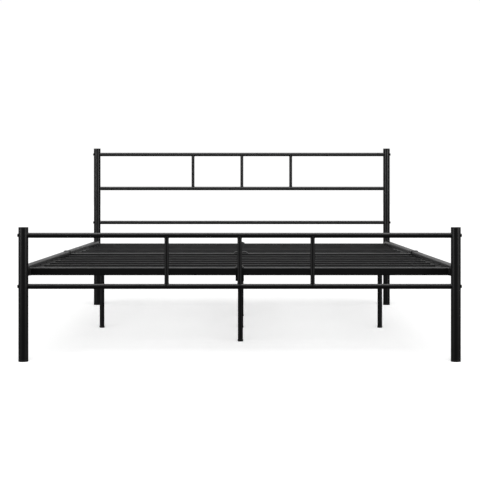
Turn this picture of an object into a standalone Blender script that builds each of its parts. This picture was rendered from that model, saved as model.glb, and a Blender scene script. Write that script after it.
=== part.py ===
"""Queen-size tubular steel bed frame with a low footboard and a slatted deck.

Metres, +Z up.  The origin is on the floor under the middle of the bed, +Y points to the
headboard and +X to the right of somebody who stands at the foot and looks at the headboard.
"Left" and "right" are that person's left and right.
"""

import math

import bmesh
import bpy
from mathutils import Matrix, Vector

# Overall size
OVERALL_WIDTH = 1.524
POST_SPACING_Y = 2.074

# Clearance between pieces, how deep a welded plate sits in a wall, spare length of cutters
GAP = 0.0003
WELD_DEPTH = 0.00105
CUTTER_MARGIN = 0.010

# Mesh settings: points closer than this are one, edges flatter than this go, others are sharp
MERGE_DISTANCE = 0.000001
FLAT_ANGLE = math.radians(1)
SHARP_ANGLE = math.radians(40)

# Corner posts: round tube, a cap pressed in the top and a glide pressed in the bottom
POST_DIAMETER = 0.034
POST_WALL = 0.0015
POST_SIDES = 20
HEAD_POST_TOP = 0.805
FOOT_POST_TOP = 0.463
CAP_THICKNESS = 0.004
CAP_EDGE = 0.0012
GLIDE_THICKNESS = 0.006
GLIDE_EDGE = 0.002
PLUG_LENGTH = 0.016
PLUG_WALL = 0.003

# Head and foot panels: round rails across the posts, thin spindles between the rails
RAIL_DIAMETER = 0.018
RAIL_WALL = 0.0015
RAIL_SIDES = 12
SPINDLE_DIAMETER = 0.015
SPINDLE_WALL = 0.0012
SPINDLE_SIDES = 10
SPINDLE_SPACING = 0.2515
HEAD_TOP_RAIL_Z = 0.7745
HEAD_MIDDLE_RAIL_Z = 0.5995
HEAD_BOTTOM_RAIL_Z = 0.4245
FOOT_TOP_RAIL_Z = 0.435
FOOT_BOTTOM_RAIL_Z = 0.259

# Panel bolts: button head outside the post, shank through the post into the end of a rail.
# The crown's points are shares of the head's radius and height.
BOLT_SHANK_DIAMETER = 0.0078
BOLT_HOLE_DIAMETER = 0.0084
BOLT_HEAD_DIAMETER = 0.0125
BOLT_HEAD_HEIGHT = 0.0035
BOLT_CROWN = ((0.55, 0.90), (0.88, 0.55))
BOLT_GRIP = 0.016
BOLT_SIDES = 10
RAIL_THREAD_LENGTH = 0.020

# Deck: box-section side rails, each in two halves, and box-section cross rails
SIDE_RAIL_WIDTH = 0.025
SIDE_RAIL_TOP = 0.329
SIDE_RAIL_HEIGHT = 0.037
SIDE_RAIL_SEAM_Y = -0.040
CROSS_RAIL_DEPTH = 0.025
CROSS_RAIL_TOP = 0.3195
CROSS_RAIL_HEIGHT = 0.0265
CROSS_RAIL_SETBACK = 0.068
SECTION_WALL = 0.0015
SECTION_CORNER = 0.003
CORNER_SEGMENTS = 2
SLEEVE_LENGTH = 0.060
SLEEVE_FLANGE = 0.002
PLATE = 0.003

# Hooks of the side rails in the slots of the posts
HOOK_PLATE_LENGTH = 0.030
HOOK_PLATE_CLEARANCE = 0.004
HOOK_NECK_HEIGHT = 0.008
HOOK_DROP = 0.005
HOOK_TIP = 0.003
HOOK_OFFSETS = (-0.0095, 0.0085)
SLOT_WIDTH = 0.0038
SLOT_SPARE_HEIGHT = 0.0009

# Slats: folded channel with a tongue at each end that drops in a slot of the side rail
SLATS_PER_HALF = 7
SLAT_PITCH = 0.126
SLAT_WIDTH = 0.040
SLAT_TOP = 0.317
SLAT_HEIGHT = 0.010
SLAT_WALL = 0.0015
SLAT_END_GAP = 0.017
TONGUE_WIDTH = 0.024
TONGUE_REACH = 0.007
TONGUE_ROOT = 0.008

# Centre beam halves under the slats, hung on the cross rails
BEAM_WIDTH = 0.026
BEAM_TOP = 0.3065
BEAM_BOTTOM = 0.2715
BEAM_HOOK_WIDTH = 0.030
BEAM_HOOK_RIDGE_WIDTH = 0.010
BEAM_HOOK_RIDGE = 0.005
BEAM_HOOK_LIP = 0.013
BEAM_END_PLATE = 0.0024

# Hook plates of the middle cross rail, over the side rails
SADDLE_DEPTH = 0.030
SADDLE_LIP = 0.007
SADDLE_PLATE = 0.0022

# Support legs
LEG_DIAMETER = 0.020
LEG_WALL = 0.0015
LEG_SIDES = 12
LEG_STUD_DIAMETER = 0.0078
LEG_STUD_LENGTH = 0.010
LEG_TOP_PLUG = 0.012
LEG_GLIDE_HEIGHT = 0.008
LEG_GLIDE_FLARE = 0.001
SIDE_LEG_X = 0.597
BEAM_LEG_Y = 0.475

# Worked out from the dimensions above
POST_RADIUS = POST_DIAMETER / 2
POST_X = OVERALL_WIDTH / 2 - POST_RADIUS
POST_Y = POST_SPACING_Y / 2
RAIL_RADIUS = RAIL_DIAMETER / 2
SIDE_RAIL_Z = SIDE_RAIL_TOP - SIDE_RAIL_HEIGHT / 2
SIDE_RAIL_INNER_X = POST_X - SIDE_RAIL_WIDTH / 2
SIDE_RAIL_OUTER_X = POST_X + SIDE_RAIL_WIDTH / 2
CROSS_RAIL_BOTTOM = CROSS_RAIL_TOP - CROSS_RAIL_HEIGHT
CROSS_RAIL_Z = CROSS_RAIL_TOP - CROSS_RAIL_HEIGHT / 2
END_RAIL_Y = POST_Y - CROSS_RAIL_SETBACK


# ---------------------------------------------------------------- finishes

def finish(name, colour, roughness, metallic):
    """A Principled BSDF material, made once and found by its name after that."""
    material = bpy.data.materials.get(name)
    if material is None:
        material = bpy.data.materials.new(name)
        material.use_nodes = True
        shader = material.node_tree.nodes["Principled BSDF"]
        shader.inputs["Base Color"].default_value = (*colour, 1.0)
        shader.inputs["Roughness"].default_value = roughness
        shader.inputs["Metallic"].default_value = metallic
        material.diffuse_color = (*colour, 1.0)
    return material


def frame_coat():
    """Satin black powder coat of the posts, the rails and the legs."""
    return finish("frame_coat", (0.018, 0.018, 0.019), 0.42, 0.0)


def slat_coat():
    """The thinner, duller coat of the folded slats."""
    return finish("slat_coat", (0.024, 0.024, 0.025), 0.50, 0.0)


def moulded_plastic():
    """Black polyethylene of the caps and the glides."""
    return finish("moulded_plastic", (0.012, 0.012, 0.012), 0.60, 0.0)


def blackened_steel():
    """Black oxide finish of the bolts."""
    return finish("blackened_steel", (0.030, 0.030, 0.032), 0.38, 1.0)


# ---------------------------------------------------------------- shape tools

def turned_mesh(name, outline, sides):
    """Turn an outline of (radius, height) points about Z.

    An outline that starts and ends on the axis stays open there; any other one is closed.
    """
    shape = bmesh.new()
    points = [shape.verts.new((radius, 0.0, height)) for radius, height in outline]
    pairs = list(zip(points, points[1:]))
    if outline[0][0] > 0.0:
        pairs.append((points[-1], points[0]))
    edges = [shape.edges.new(pair) for pair in pairs]
    bmesh.ops.spin(shape, geom=points + edges, axis=(0, 0, 1), cent=(0, 0, 0),
                   angle=math.tau, steps=sides, use_merge=True)
    bmesh.ops.remove_doubles(shape, verts=shape.verts, dist=MERGE_DISTANCE)
    bmesh.ops.dissolve_limit(shape, angle_limit=FLAT_ANGLE, verts=shape.verts,
                             edges=shape.edges)
    return finished_mesh(name, shape, round_shape=True)


def tube_outline(outer_diameter, wall, length):
    """Outline of a plain round tube, from height 0 to its length."""
    outer = outer_diameter / 2
    inner = outer - wall
    return [(inner, 0.0), (outer, 0.0), (outer, length), (inner, length)]


def box_section(width, height, length, wall, corner=SECTION_CORNER):
    """Rectangular tube along Y with rounded corners, from Y = 0 to its length."""
    shape = bmesh.new()
    bmesh.ops.create_grid(shape, x_segments=1, y_segments=1, size=0.5)
    bmesh.ops.scale(shape, vec=(width, height, 1.0), verts=shape.verts)
    bmesh.ops.bevel(shape, geom=list(shape.verts), offset=corner, offset_type="OFFSET",
                    segments=CORNER_SEGMENTS, profile=0.5, affect="VERTICES", material=-1)
    bmesh.ops.rotate(shape, matrix=Matrix.Rotation(math.pi / 2, 3, "X"), verts=shape.verts)
    bore = list(shape.faces)
    bmesh.ops.inset_region(shape, faces=bore, thickness=wall, use_boundary=True,
                            use_even_offset=True)
    bmesh.ops.delete(shape, geom=bore, context="FACES")
    pulled = bmesh.ops.extrude_face_region(shape, geom=list(shape.faces))
    moved = [item for item in pulled["geom"] if isinstance(item, bmesh.types.BMVert)]
    bmesh.ops.translate(shape, vec=(0, length, 0), verts=moved)
    return shape


def plate_shape(outline, thickness, along):
    """Flat plate from its outline, centred on the axis that its thickness runs along.

    The outline's points are (y, z) for a thickness along X, and (x, z) for one along Y.
    """
    shape = bmesh.new()
    half = thickness / 2
    if along == "X":
        corners = [shape.verts.new((-half, y, z)) for y, z in outline]
        step = Vector((thickness, 0, 0))
    else:
        corners = [shape.verts.new((x, -half, z)) for x, z in outline]
        step = Vector((0, thickness, 0))
    face = shape.faces.new(corners)
    pulled = bmesh.ops.extrude_face_region(shape, geom=[face])
    moved = [item for item in pulled["geom"] if isinstance(item, bmesh.types.BMVert)]
    bmesh.ops.translate(shape, vec=step, verts=moved)
    return shape


def add_box(shape, low, high):
    """Add a box between two opposite corners to a shape."""
    low = Vector(low)
    high = Vector(high)
    size = high - low
    place = Matrix.Translation((low + high) / 2) @ Matrix.Diagonal((*size, 1.0))
    bmesh.ops.create_cube(shape, size=1.0, matrix=place)


def add_rod(shape, centre, axis, diameter, length, sides):
    """Add a solid round rod, centred on a point and lying along an axis, to a shape."""
    turn = Vector((0, 0, 1)).rotation_difference(Vector(axis)).to_matrix().to_4x4()
    bmesh.ops.create_cone(shape, cap_ends=True, segments=sides, radius1=diameter / 2,
                          radius2=diameter / 2, depth=length,
                          matrix=Matrix.Translation(centre) @ turn)


def finished_mesh(name, shape, round_shape=False):
    """Merge doubles, point the faces outwards and turn the shape into a mesh."""
    bmesh.ops.remove_doubles(shape, verts=shape.verts, dist=MERGE_DISTANCE)
    bmesh.ops.recalc_face_normals(shape, faces=shape.faces)
    mesh = bpy.data.meshes.new(name)
    shape.to_mesh(mesh)
    shape.free()
    if round_shape:
        mesh.shade_smooth()
        mesh.set_sharp_from_angle(angle=SHARP_ANGLE)
    return mesh


def place(name, mesh, material, location=(0, 0, 0), rotation=(0, 0, 0), parent=None):
    """Put a mesh in the scene as a named piece."""
    if not mesh.materials:
        mesh.materials.append(material)
    piece = bpy.data.objects.new(name, mesh)
    piece.location = location
    piece.rotation_euler = rotation
    piece.parent = parent
    bpy.context.scene.collection.objects.link(piece)
    return piece


def carved(name, mesh, cuts=(), welds=()):
    """The mesh after exact Booleans: shapes in cuts are taken away, then welds are added."""
    blank = bpy.data.objects.new(name, mesh)
    helpers = []
    steps = [(shape, "DIFFERENCE") for shape in cuts] + [(shape, "UNION") for shape in welds]
    for shape, operation in steps:
        helper = bpy.data.objects.new(f"{name}_tool", finished_mesh(f"{name}_tool", shape))
        helpers.append(helper)
        step = blank.modifiers.new(operation, "BOOLEAN")
        step.operation = operation
        step.solver = "EXACT"
        step.object = helper
    for item in [blank] + helpers:
        bpy.context.scene.collection.objects.link(item)
    graph = bpy.context.evaluated_depsgraph_get()
    result = bpy.data.meshes.new_from_object(blank.evaluated_get(graph), depsgraph=graph)
    result.name = name
    for item in [blank] + helpers:
        bpy.data.objects.remove(item, do_unlink=True)
    return result


def add_empty(name, location=(0, 0, 0), turn=0.0):
    """Reference frame that pieces are parented to."""
    empty = bpy.data.objects.new(name, None)
    empty.location = location
    empty.rotation_euler = (0, 0, turn)
    bpy.context.scene.collection.objects.link(empty)
    return empty


def both_sides(turn=1):
    """The names of the two sides and the sign of X on each, in a frame that faces turn."""
    return (("left", -turn), ("right", turn))


# ---------------------------------------------------------------- head and foot panels

def cap_mesh():
    """Flat-topped cap: a disc as wide as the post and a hollow plug that goes inside it."""
    plug = POST_RADIUS - POST_WALL - GAP
    outline = [
        (0.0, CAP_THICKNESS),
        (POST_RADIUS - CAP_EDGE, CAP_THICKNESS),
        (POST_RADIUS, CAP_THICKNESS - CAP_EDGE),
        (POST_RADIUS, 0.0),
        (plug, 0.0),
        (plug, -PLUG_LENGTH),
        (plug - PLUG_WALL, -PLUG_LENGTH),
        (plug - PLUG_WALL, 0.0),
        (0.0, 0.0),
    ]
    return turned_mesh("post_cap", outline, POST_SIDES)


def glide_mesh():
    """Foot of a post: a thick disc with a softened lower edge, and its hollow plug."""
    plug = POST_RADIUS - POST_WALL - GAP
    outline = [
        (0.0, 0.0),
        (POST_RADIUS - GLIDE_EDGE, 0.0),
        (POST_RADIUS, GLIDE_EDGE),
        (POST_RADIUS, GLIDE_THICKNESS),
        (plug, GLIDE_THICKNESS),
        (plug, GLIDE_THICKNESS + PLUG_LENGTH),
        (plug - PLUG_WALL, GLIDE_THICKNESS + PLUG_LENGTH),
        (plug - PLUG_WALL, GLIDE_THICKNESS),
        (0.0, GLIDE_THICKNESS),
    ]
    return turned_mesh("post_glide", outline, POST_SIDES)


def post_mesh(end_name, top, bolt_heights):
    """Round tube with the holes of the panel bolts and the slots of the side rail's hooks.

    Height 0 is the floor, and the slots are on the side that faces the bed, at -Y.
    """
    bottom = GLIDE_THICKNESS + GAP
    outline = tube_outline(POST_DIAMETER, POST_WALL, top - CAP_THICKNESS - GAP - bottom)
    tube = turned_mesh(end_name, [(radius, bottom + z) for radius, z in outline], POST_SIDES)
    holes = bmesh.new()
    for height in bolt_heights:
        add_rod(holes, (0, 0, height), (1, 0, 0), BOLT_HOLE_DIAMETER,
                POST_DIAMETER + 2 * CUTTER_MARGIN, BOLT_SIDES)
    for offset in HOOK_OFFSETS:
        slot_low = SIDE_RAIL_Z + offset - HOOK_NECK_HEIGHT / 2 - GAP
        slot_high = slot_low + HOOK_NECK_HEIGHT + HOOK_DROP + SLOT_SPARE_HEIGHT
        add_box(holes, (-SLOT_WIDTH / 2, -POST_RADIUS - CUTTER_MARGIN, slot_low),
                (SLOT_WIDTH / 2, -POST_RADIUS + 3 * POST_WALL, slot_high))
    return carved(end_name, tube, cuts=[holes])


def add_posts(end_name, parent, turn, top, bolt_heights):
    """Two posts of one end of the bed, with their caps and glides."""
    post = post_mesh(f"{end_name}_post", top, bolt_heights)
    cap = cap_mesh()
    glide = glide_mesh()
    for side_name, side in both_sides(turn):
        x = side * POST_X
        place(f"{end_name}_post_{side_name}", post, frame_coat(), (x, 0, 0), parent=parent)
        place(f"{end_name}_post_cap_{side_name}", cap, moulded_plastic(),
              (x, 0, top - CAP_THICKNESS), parent=parent)
        place(f"{end_name}_post_glide_{side_name}", glide, moulded_plastic(), (x, 0, 0),
              parent=parent)


def bolted_rail_outline(length):
    """Outline of a rail tube with a threaded plug welded in each end."""
    outer = RAIL_RADIUS
    bore = RAIL_RADIUS - RAIL_WALL
    thread = BOLT_HOLE_DIAMETER / 2
    return [
        (thread, 0.0),
        (outer, 0.0),
        (outer, length),
        (thread, length),
        (thread, length - RAIL_THREAD_LENGTH),
        (bore, length - RAIL_THREAD_LENGTH),
        (bore, RAIL_THREAD_LENGTH),
        (thread, RAIL_THREAD_LENGTH),
    ]


def post_cope(height):
    """Shape of the outside of both posts over a height, to hollow the ends that meet them."""
    shape = bmesh.new()
    for side in (-1, 1):
        add_rod(shape, (side * POST_X, 0, 0), (0, 0, 1), POST_DIAMETER + 2 * GAP, height,
                2 * POST_SIDES)
    return shape


def panel_rail_mesh(name, outline):
    """Rail along X between two posts, with its ends hollowed to fit them."""
    tube = turned_mesh(name, outline, RAIL_SIDES)
    tube.transform(Matrix.Rotation(math.pi / 2, 4, "Y"))
    tube.transform(Matrix.Translation((-POST_X, 0, 0)))
    return carved(name, tube, cuts=[post_cope(2 * RAIL_DIAMETER)])


def add_panel_rails(panel_name, parent, bolted, plain):
    """Rails across the posts: bolted ones take the panel bolts, plain ones only butt."""
    length = 2 * POST_X
    bolted_rail = panel_rail_mesh("bolted_rail", bolted_rail_outline(length))
    plain_rail = panel_rail_mesh("plain_rail", tube_outline(RAIL_DIAMETER, RAIL_WALL, length))
    for mesh, rails in ((bolted_rail, bolted), (plain_rail, plain)):
        for rail_name, height in rails.items():
            place(f"{panel_name}_{rail_name}", mesh, frame_coat(), (0, 0, height),
                  parent=parent)


def add_spindles(panel_name, parent, turn, upper, lower):
    """Three thin upright tubes between two rails of a panel, with ends hollowed to fit."""
    outline = tube_outline(SPINDLE_DIAMETER, SPINDLE_WALL, upper - lower)
    tube = turned_mesh(f"{panel_name}_spindle", outline, SPINDLE_SIDES)
    rails = bmesh.new()
    for height in (0.0, upper - lower):
        add_rod(rails, (0, 0, height), (1, 0, 0), RAIL_DIAMETER + 2 * GAP,
                4 * SPINDLE_DIAMETER, 2 * RAIL_SIDES)
    spindle = carved(f"{panel_name}_spindle", tube, cuts=[rails])
    for spindle_name, column in (("left", -turn), ("centre", 0), ("right", turn)):
        place(f"{panel_name}_spindle_{spindle_name}", spindle, frame_coat(),
              (column * SPINDLE_SPACING, 0, lower), parent=parent)


def bolt_mesh():
    """Button-head bolt along Z: the head starts at height 0 and the shank runs down."""
    head = BOLT_HEAD_DIAMETER / 2
    shank = BOLT_SHANK_DIAMETER / 2
    shank_length = POST_DIAMETER + BOLT_GRIP
    crown = [(out * head, up * BOLT_HEAD_HEIGHT) for out, up in BOLT_CROWN]
    outline = [
        (0.0, BOLT_HEAD_HEIGHT),
        *crown,
        (head, 0.0),
        (shank, 0.0),
        (shank, -shank_length),
        (0.0, -shank_length),
    ]
    return turned_mesh("panel_bolt", outline, BOLT_SIDES)


def add_panel_bolts(panel_name, parent, turn, heights):
    """Bolts through both posts into the ends of the bolted rails."""
    bolt = bolt_mesh()
    flat_of_post = POST_RADIUS + GAP
    for row_name, height in heights.items():
        for side_name, side in both_sides(turn):
            place(f"{panel_name}_bolt_{row_name}_{side_name}", bolt, blackened_steel(),
                  (side * (POST_X + flat_of_post), 0, height),
                  (0, side * math.pi / 2, 0), parent)


def add_headboard():
    """Tall panel: three rails, with the spindles in its upper half."""
    parent = add_empty("headboard", (0, POST_Y, 0))
    bolt_heights = {"top": HEAD_TOP_RAIL_Z, "bottom": HEAD_BOTTOM_RAIL_Z}
    add_posts("head", parent, 1, HEAD_POST_TOP, bolt_heights.values())
    add_panel_rails("headboard", parent,
                    {"top_rail": HEAD_TOP_RAIL_Z, "bottom_rail": HEAD_BOTTOM_RAIL_Z},
                    {"middle_rail": HEAD_MIDDLE_RAIL_Z})
    add_spindles("headboard", parent, 1, HEAD_TOP_RAIL_Z, HEAD_MIDDLE_RAIL_Z)
    add_panel_bolts("headboard", parent, 1, bolt_heights)


def add_footboard():
    """Low panel, turned to face the headboard: two rails with the spindles between them."""
    parent = add_empty("footboard", (0, -POST_Y, 0), math.pi)
    bolt_heights = {"top": FOOT_TOP_RAIL_Z, "bottom": FOOT_BOTTOM_RAIL_Z}
    add_posts("foot", parent, -1, FOOT_POST_TOP, bolt_heights.values())
    add_panel_rails("footboard", parent,
                    {"top_rail": FOOT_TOP_RAIL_Z, "bottom_rail": FOOT_BOTTOM_RAIL_Z}, {})
    add_spindles("footboard", parent, -1, FOOT_TOP_RAIL_Z, FOOT_BOTTOM_RAIL_Z)
    add_panel_bolts("footboard", parent, -1, bolt_heights)


# ---------------------------------------------------------------- side rails

def hook_plate(end):
    """Plate inside the rail's end, with two hooks that reach through the post's slots."""
    post_face = end * (POST_Y - POST_RADIUS)
    base_y = post_face - end * HOOK_PLATE_LENGTH
    neck_y = post_face - end * HOOK_PLATE_CLEARANCE
    wall_y = post_face + end * (POST_WALL + 2 * GAP)
    tip_y = wall_y + end * HOOK_TIP
    half_height = SIDE_RAIL_HEIGHT / 2 - WELD_DEPTH
    outline = [(base_y, -half_height), (neck_y, -half_height)]
    for offset in HOOK_OFFSETS:
        neck_low = offset - HOOK_NECK_HEIGHT / 2
        neck_high = offset + HOOK_NECK_HEIGHT / 2
        outline += [
            (neck_y, neck_low),
            (wall_y, neck_low),
            (wall_y, neck_low - HOOK_DROP),
            (tip_y, neck_low - HOOK_DROP),
            (tip_y, neck_high),
            (neck_y, neck_high),
        ]
    outline += [(neck_y, half_height), (base_y, half_height)]
    return plate_shape(outline, PLATE, "X")


def slat_slots(side, end):
    """Slots in the inner wall of a side rail half, one for each slat's tongue."""
    shape = bmesh.new()
    inner_face = side * (SIDE_RAIL_INNER_X - POST_X)
    near = inner_face - side * CUTTER_MARGIN
    far = inner_face + side * 2 * SECTION_WALL
    reach = TONGUE_WIDTH / 2 + 2 * GAP
    low = SLAT_TOP - SLAT_WALL - 2 * GAP - SIDE_RAIL_Z
    high = SLAT_TOP + 2 * GAP - SIDE_RAIL_Z
    for number in range(1, SLATS_PER_HALF + 1):
        y = end * number * SLAT_PITCH
        add_box(shape, (min(near, far), y - reach, low), (max(near, far), y + reach, high))
    return shape


def joint_sleeve():
    """Sleeve that enters the foot half of the side rail."""
    clearance = 2 * (SECTION_WALL + GAP)
    shape = box_section(SIDE_RAIL_WIDTH - clearance, SIDE_RAIL_HEIGHT - clearance,
                        SLEEVE_LENGTH + SLEEVE_FLANGE / 2, SECTION_WALL, SECTION_CORNER / 2)
    bmesh.ops.translate(shape, vec=(0, SIDE_RAIL_SEAM_Y - SLEEVE_LENGTH, 0),
                        verts=shape.verts)
    return shape


def joint_flange():
    """Plate that closes the head half of a side rail at the seam and carries the sleeve."""
    shape = bmesh.new()
    half_width = SIDE_RAIL_WIDTH / 2 - WELD_DEPTH
    half_height = SIDE_RAIL_HEIGHT / 2 - WELD_DEPTH
    start = SIDE_RAIL_SEAM_Y + 2 * GAP
    add_box(shape, (-half_width, start, -half_height),
            (half_width, start + SLEEVE_FLANGE, half_height))
    return shape


def side_rail_half(name, side, end, parent):
    """Half of a side rail, from the seam to the post, with its hooks and slat slots."""
    start = SIDE_RAIL_SEAM_Y + end * GAP
    stop = end * POST_Y
    shape = box_section(SIDE_RAIL_WIDTH, SIDE_RAIL_HEIGHT, abs(stop - start), SECTION_WALL)
    bmesh.ops.translate(shape, vec=(0, min(start, stop), 0), verts=shape.verts)
    post = bmesh.new()
    add_rod(post, (0, stop, 0), (0, 0, 1), POST_DIAMETER + 2 * GAP, 2 * SIDE_RAIL_HEIGHT,
            2 * POST_SIDES)
    welds = [hook_plate(end)]
    if end > 0:
        welds += [joint_flange(), joint_sleeve()]
    rail = carved(name, finished_mesh(name, shape), [post, slat_slots(side, end)], welds)
    place(name, rail, frame_coat(), (side * POST_X, 0, SIDE_RAIL_Z), parent=parent)


def add_side_rails(parent):
    """Left and right side rails, each in a foot half and a head half."""
    for side_name, side in both_sides():
        side_rail_half(f"side_rail_{side_name}_foot_half", side, -1, parent)
        side_rail_half(f"side_rail_{side_name}_head_half", side, 1, parent)


# ---------------------------------------------------------------- cross rails

def cross_rail_tube(reach):
    """Box section along X that reaches the same distance to both sides of the bed."""
    shape = box_section(CROSS_RAIL_DEPTH, CROSS_RAIL_HEIGHT, 2 * reach, SECTION_WALL)
    bmesh.ops.translate(shape, vec=(0, -reach, 0), verts=shape.verts)
    bmesh.ops.rotate(shape, matrix=Matrix.Rotation(math.pi / 2, 3, "Z"), verts=shape.verts)
    return shape


def add_end_rails(parent):
    """Cross rails at the head and at the foot, between the side rails."""
    tube = finished_mesh("end_cross_rail", cross_rail_tube(SIDE_RAIL_INNER_X - GAP))
    for end_name, end in (("foot", -1), ("head", 1)):
        place(f"{end_name}_cross_rail", tube, frame_coat(), (0, end * END_RAIL_Y, CROSS_RAIL_Z),
              parent=parent)


def saddle(side):
    """Hook plate at the end of the middle cross rail, bent over the top of a side rail."""
    inside = SIDE_RAIL_INNER_X - GAP
    outside = SIDE_RAIL_OUTER_X + GAP
    low = CROSS_RAIL_BOTTOM - CROSS_RAIL_Z
    under = SIDE_RAIL_TOP + GAP - CROSS_RAIL_Z
    outline = [
        (inside - SADDLE_PLATE, low),
        (inside, low),
        (inside, under),
        (outside, under),
        (outside, under - SADDLE_LIP),
        (outside + SADDLE_PLATE, under - SADDLE_LIP),
        (outside + SADDLE_PLATE, under + SADDLE_PLATE),
        (inside - SADDLE_PLATE, under + SADDLE_PLATE),
    ]
    return plate_shape([(side * x, z) for x, z in outline], SADDLE_DEPTH, "Y")


def stud_holes(spots, height):
    """Holes in the lower wall of a rail or a beam for the studs of the legs."""
    shape = bmesh.new()
    for x, y in spots:
        add_rod(shape, (x, y, height), (0, 0, 1), LEG_STUD_DIAMETER + 4 * GAP,
                4 * SECTION_WALL, BOLT_SIDES)
    return shape


def add_middle_rail(parent):
    """Cross rail at mid-length: it hooks over both side rails and stands on three legs."""
    name = "middle_cross_rail"
    tube = finished_mesh(name, cross_rail_tube(SIDE_RAIL_INNER_X - GAP - SADDLE_PLATE / 2))
    holes = stud_holes(((-SIDE_LEG_X, 0), (0, 0), (SIDE_LEG_X, 0)), -CROSS_RAIL_HEIGHT / 2)
    rail = carved(name, tube, [holes], [saddle(-1), saddle(1)])
    place(name, rail, frame_coat(), (0, 0, CROSS_RAIL_Z), parent=parent)


# ---------------------------------------------------------------- slats and centre beam

def slat_mesh():
    """Channel with its web on top, and a tongue that draws the web out at each end."""
    outer = SLAT_WIDTH / 2
    inner = outer - SLAT_WALL
    shoulder = outer - SLAT_WALL
    section = [
        (-outer, -SLAT_HEIGHT),
        (-inner, -SLAT_HEIGHT),
        (-inner, -SLAT_WALL),
        (inner, -SLAT_WALL),
        (inner, -SLAT_HEIGHT),
        (outer, -SLAT_HEIGHT),
        (outer, -SLAT_WALL),
        (shoulder, 0.0),
        (-shoulder, 0.0),
        (-outer, -SLAT_WALL),
    ]
    reach = SIDE_RAIL_INNER_X - SLAT_END_GAP
    channel = finished_mesh("slat", plate_shape(section, 2 * reach, "X"))
    tongues = bmesh.new()
    root = reach - TONGUE_ROOT
    tip = SIDE_RAIL_INNER_X + TONGUE_REACH
    for side in (-1, 1):
        add_box(tongues, (min(side * root, side * tip), -TONGUE_WIDTH / 2, GAP - SLAT_WALL),
                (max(side * root, side * tip), TONGUE_WIDTH / 2, -GAP))
    return carved("slat", channel, welds=[tongues])


def add_slats(parent):
    """Seven slats over each half of the deck, counted from the foot."""
    slat = slat_mesh()
    rows = [row for row in range(-SLATS_PER_HALF, SLATS_PER_HALF + 1) if row]
    for number, row in enumerate(rows, start=1):
        place(f"slat_{number:02d}", slat, slat_coat(), (0, row * SLAT_PITCH, SLAT_TOP),
              parent=parent)


def beam_hook(x, rail_y, end):
    """Bent plate on a beam's end: up behind a cross rail, over it and down its far side."""
    reach = CROSS_RAIL_DEPTH / 2 + GAP
    near = rail_y - end * reach
    far = rail_y + end * reach
    under = CROSS_RAIL_TOP + GAP
    outline = [
        (near - end * PLATE, BEAM_BOTTOM),
        (near, BEAM_BOTTOM),
        (near, under),
        (far, under),
        (far, under - BEAM_HOOK_LIP),
        (far + end * PLATE, under - BEAM_HOOK_LIP),
        (far + end * PLATE, under + PLATE),
        (near - end * PLATE, under + PLATE),
    ]
    shape = plate_shape(outline, BEAM_HOOK_WIDTH, "X")
    bmesh.ops.translate(shape, vec=(x, 0, 0), verts=shape.verts)
    return shape


def hook_ridge(x, rail_y):
    """Stiffening ridge along the top of a beam's hook, with sloping shoulders."""
    half = BEAM_HOOK_WIDTH / 2 - GAP
    ridge = BEAM_HOOK_RIDGE_WIDTH / 2
    seat = CROSS_RAIL_TOP + PLATE / 2
    top = CROSS_RAIL_TOP + GAP + PLATE
    outline = [
        (x - half, seat),
        (x + half, seat),
        (x + half, top + GAP),
        (x + ridge, top + BEAM_HOOK_RIDGE),
        (x - ridge, top + BEAM_HOOK_RIDGE),
        (x - half, top + GAP),
    ]
    shape = plate_shape(outline, CROSS_RAIL_DEPTH + PLATE, "Y")
    bmesh.ops.translate(shape, vec=(0, rail_y, 0), verts=shape.verts)
    return shape


def end_plate(y, end):
    """Plate that closes the beam's end at the middle cross rail."""
    shape = bmesh.new()
    half = BEAM_WIDTH / 2 - WELD_DEPTH
    near = y + end * GAP
    far = y + end * BEAM_END_PLATE
    add_box(shape, (-half, min(near, far), BEAM_BOTTOM + WELD_DEPTH),
            (half, max(near, far), BEAM_TOP - WELD_DEPTH))
    return shape


def add_centre_beam(parent):
    """Centre beam under the slats, in two halves that hang on the cross rails.

    At the middle cross rail the two hooks lie side by side.
    """
    hook_reach = CROSS_RAIL_DEPTH / 2 + GAP
    for half_name, end in (("foot", -1), ("head", 1)):
        name = f"centre_beam_{half_name}_half"
        near = end * hook_reach
        far = end * (END_RAIL_Y - hook_reach - PLATE / 2)
        shape = box_section(BEAM_WIDTH, BEAM_TOP - BEAM_BOTTOM, abs(far - near), SECTION_WALL)
        bmesh.ops.translate(shape, vec=(0, min(near, far), (BEAM_TOP + BEAM_BOTTOM) / 2),
                            verts=shape.verts)
        hook_x = end * (BEAM_HOOK_WIDTH / 2 + GAP)
        welds = [
            beam_hook(0.0, end * END_RAIL_Y, end),
            hook_ridge(0.0, end * END_RAIL_Y),
            end_plate(near, end),
            beam_hook(hook_x, 0.0, -end),
            hook_ridge(hook_x, 0.0),
        ]
        holes = stud_holes(((0, end * BEAM_LEG_Y),), BEAM_BOTTOM)
        beam = carved(name, finished_mesh(name, shape), [holes], welds)
        place(name, beam, frame_coat(), parent=parent)


# ---------------------------------------------------------------- support legs

def leg_mesh(name, top):
    """Round leg with a stud on its top plug and a flared glide on the floor."""
    outer = LEG_DIAMETER / 2
    inner = outer - LEG_WALL
    stud = LEG_STUD_DIAMETER / 2
    outline = [
        (0.0, top + LEG_STUD_LENGTH),
        (stud, top + LEG_STUD_LENGTH),
        (stud, top),
        (outer, top),
        (outer, LEG_GLIDE_HEIGHT),
        (outer + LEG_GLIDE_FLARE, LEG_GLIDE_HEIGHT),
        (outer + LEG_GLIDE_FLARE, LEG_GLIDE_FLARE),
        (outer, 0.0),
        (LEG_WALL, 0.0),
        (LEG_WALL, LEG_GLIDE_HEIGHT / 2),
        (inner, LEG_GLIDE_HEIGHT / 2),
        (inner, top - LEG_TOP_PLUG),
        (0.0, top - LEG_TOP_PLUG),
    ]
    return turned_mesh(name, outline, LEG_SIDES)


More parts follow.
